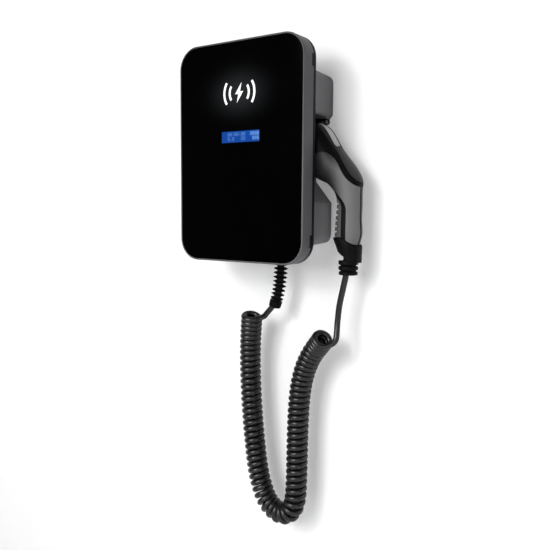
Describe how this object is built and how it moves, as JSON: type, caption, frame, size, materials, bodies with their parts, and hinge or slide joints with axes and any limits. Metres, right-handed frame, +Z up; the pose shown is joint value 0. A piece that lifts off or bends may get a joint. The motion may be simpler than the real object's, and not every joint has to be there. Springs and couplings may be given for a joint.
{
  "type": "ev wallbox",
  "caption": "Wall box for charging a car, with a gloss panel, lit display, side holster and a charging connector on a curly cord.",
  "frame": {"origin": "middle of the wall fixings, on the wall plane", "axes": "+X to the right as seen from the front, +Y into the wall, +Z up"},
  "size_m": [0.2864, 0.0985, 0.7445],
  "materials": {
    "panel_gloss": "deep black, glass-smooth gloss",
    "display_window": "clear window flush with the panel",
    "cover_shell": "fine satin moulding",
    "seal_rubber": "dull",
    "housing_shell": "fine moulded grain",
    "holster_black": "satin",
    "display_screen": "lit blue display",
    "frame_black": "plain",
    "board_green": "lacquered circuit board",
    "light_diffuser": "milky",
    "rail_steel": "zinc plated",
    "device_grey": "fine moulded",
    "supply_case": "fine moulded",
    "terminal_plastic": "plain moulded",
    "gland_plastic": "satin",
    "protector_rubber": "satin",
    "gun_black": "satin",
    "gun_shell": "fine satin",
    "gun_inlay": "fine satin",
    "grip_rubber": "soft, ribbed",
    "button_plastic": "satin",
    "boot_rubber": "satin",
    "nose_plastic": "satin",
    "insert_plastic": "plain moulded",
    "cord_jacket": "satin sheen",
    "screw_steel": "zinc plated",
    "contact_silver": "silver plated"
  },
  "bodies": {
    "wallbox": {"front_panel": "panel_gloss", "display_window": "display_window", "front_cover": "cover_shell", "cover_seal": "seal_rubber", "rear_housing": "housing_shell", "rear_flange": "housing_shell", "holster_socket": "holster_black", "display_screen": "display_screen", "display_frame": "frame_black", "display_board": "board_green", "light_diffuser": "light_diffuser", "light_board": "board_green", "main_board": "board_green", "mounting_rail": "rail_steel", "contactor": "device_grey", "leakage_breaker": "device_grey", "power_supply": "supply_case", "terminal_block": "terminal_plastic", "gland_body": "gland_plastic", "gland_locknut": "gland_plastic", "gland_nut": "gland_plastic", "bend_protector": "protector_rubber", "protector_collar": "protector_rubber", "gun_core": "gun_black", "gun_back_shell": "gun_shell", "gun_inlay_front": "gun_inlay", "gun_inlay_rear": "gun_inlay", "grip_pad": "grip_rubber", "gun_boot": "boot_rubber", "strain_relief": "boot_rubber", "nose_sleeve": "nose_plastic", "contact_insert": "insert_plastic", "lead_out": "cord_jacket", "curly_cord": "cord_jacket", "lead_in": "cord_jacket", "cover_screw_1": "screw_steel", "cover_screw_2": "screw_steel", "cover_screw_3": "screw_steel", "cover_screw_4": "screw_steel", "contact_1": "contact_silver", "contact_2": "contact_silver", "contact_3": "contact_silver", "contact_4": "contact_silver", "contact_5": "contact_silver", "contact_6": "contact_silver", "contact_7": "contact_silver"},
    "button": {"release_button": "button_plastic"}
  },
  "joints": [
    {"name": "release_press", "type": "slide", "parent": "wallbox", "child": "button", "axis": [-0.7303, 0, -0.6831], "range_m": [0, 0.002], "stiffness_N_per_m": 600, "springref_m": -0.004}
  ]
}
